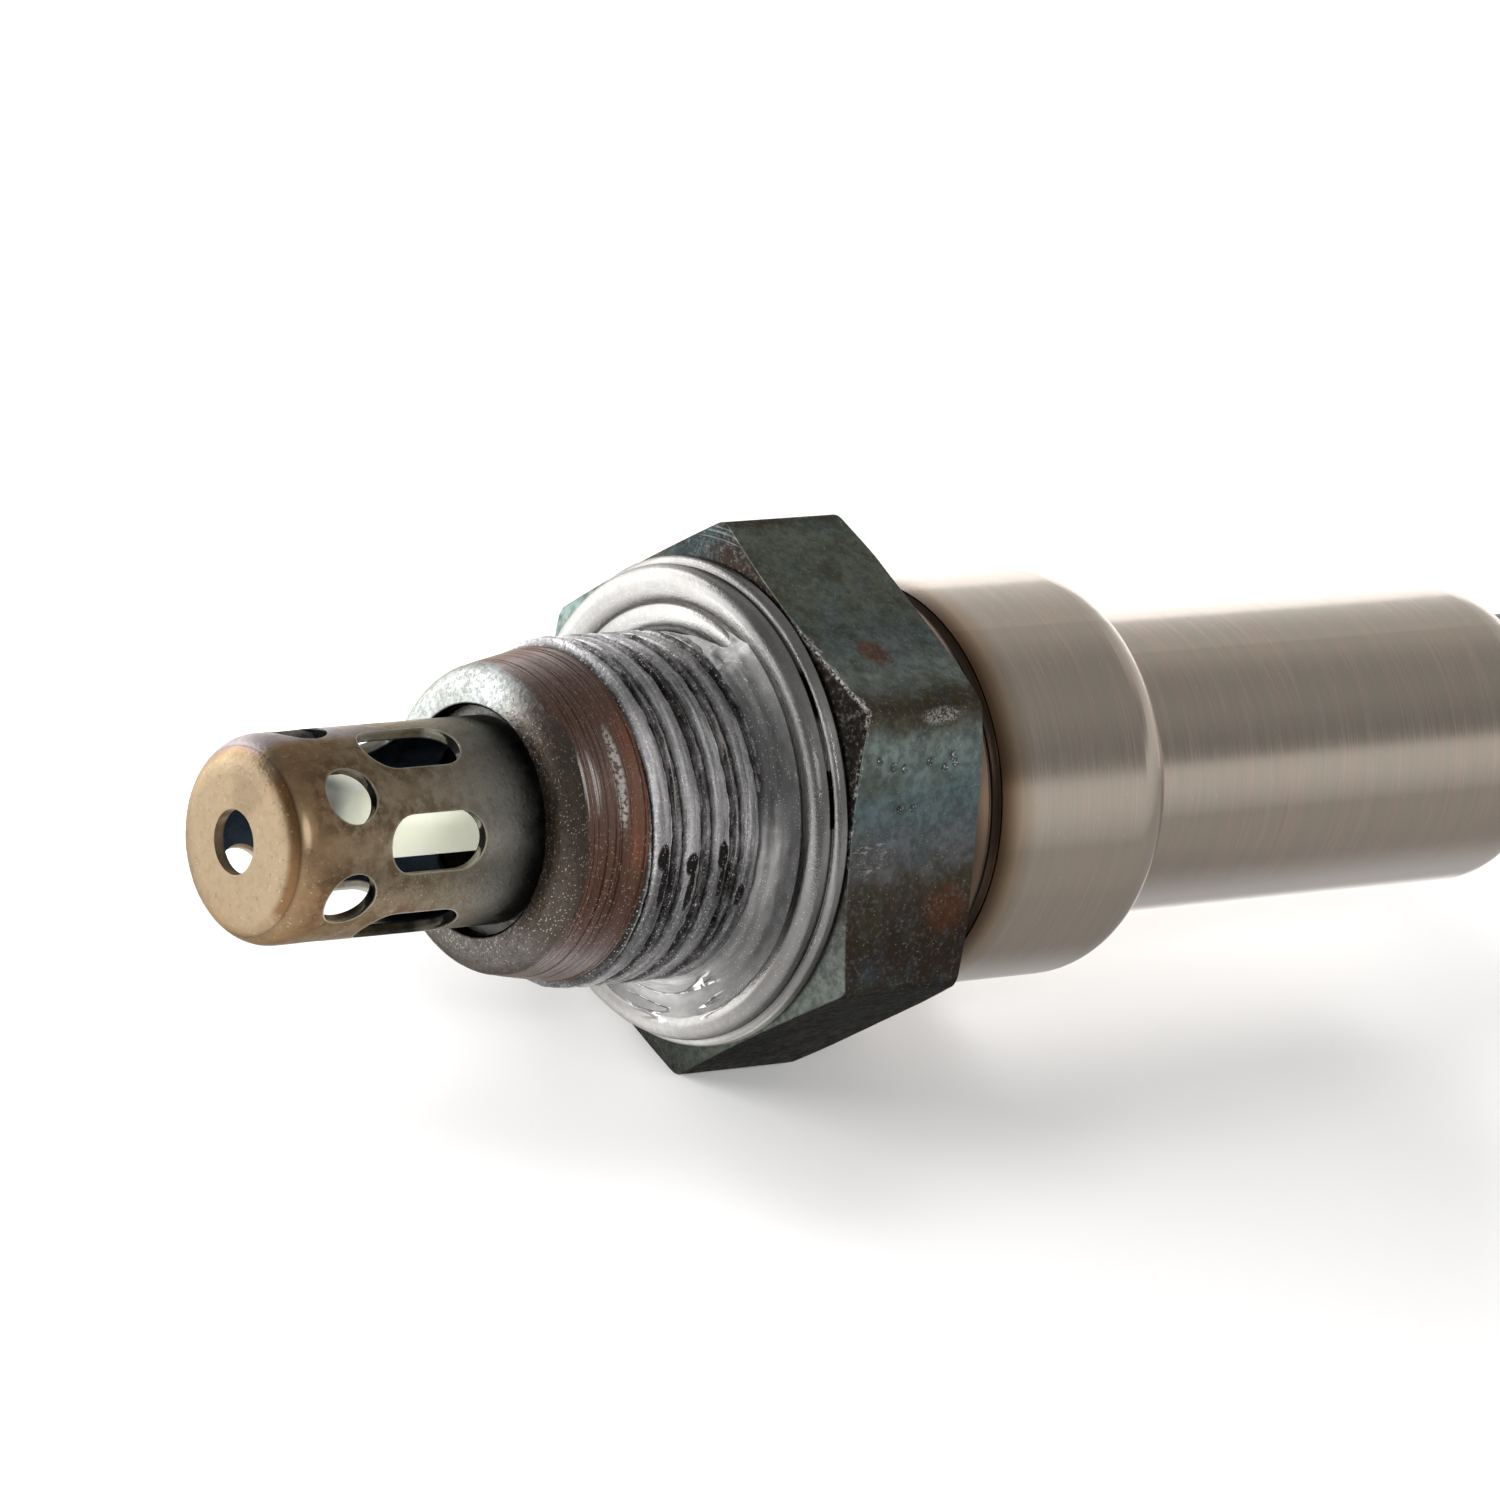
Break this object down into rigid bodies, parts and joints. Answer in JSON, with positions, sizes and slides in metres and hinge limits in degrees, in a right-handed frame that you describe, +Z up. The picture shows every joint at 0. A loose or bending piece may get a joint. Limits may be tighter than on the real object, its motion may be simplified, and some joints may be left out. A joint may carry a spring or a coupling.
{
  "type": "oxygen sensor",
  "caption": "Threaded exhaust gas sensor with a perforated protection tube, hexagon, captive seal ring and stepped steel sleeve.",
  "frame": {"origin": "on the surface the sensor lies on, below its axis and the middle of its length", "axes": "+X along the sensor's axis from the perforated nose to the cable end, +Z up, square to the hexagon flat it lies on"},
  "size_m": [0.0604, 0.0196, 0.017],
  "materials": {
    "shell_steel": "turned, plated and tarnished by heat",
    "tube_steel": "drawn steel, browned by exhaust heat",
    "seal_steel": "folded sheet, worn",
    "zirconia": "fired ceramic strip, matt",
    "inner_steel": "plain drawn steel",
    "alumina": "pressed white ceramic",
    "talc": "pressed mineral powder",
    "sleeve_steel": "satin drawn steel, slightly tanned",
    "spring_alloy": "bright nickel alloy strip",
    "grommet_rubber": "matt dark fluoroelastomer",
    "vent_membrane": "porous white film"
  },
  "bodies": {
    "root": {"shell": "shell_steel", "protection_tube": "tube_steel", "seal_ring": "seal_steel", "sensing_element": "zirconia", "holder_cup": "inner_steel", "packing_ring": "inner_steel", "front_holder": "alumina", "rear_bush": "alumina", "front_talc": "talc", "rear_talc": "talc", "sleeve": "sleeve_steel", "contact_holder": "alumina", "rear_separator": "alumina", "holder_spring": "spring_alloy", "contact_1": "spring_alloy", "contact_2": "spring_alloy", "contact_3": "spring_alloy", "contact_4": "spring_alloy", "grommet": "grommet_rubber", "vent_filter": "vent_membrane", "vent_pipe": "inner_steel"}
  },
  "joints": []
}
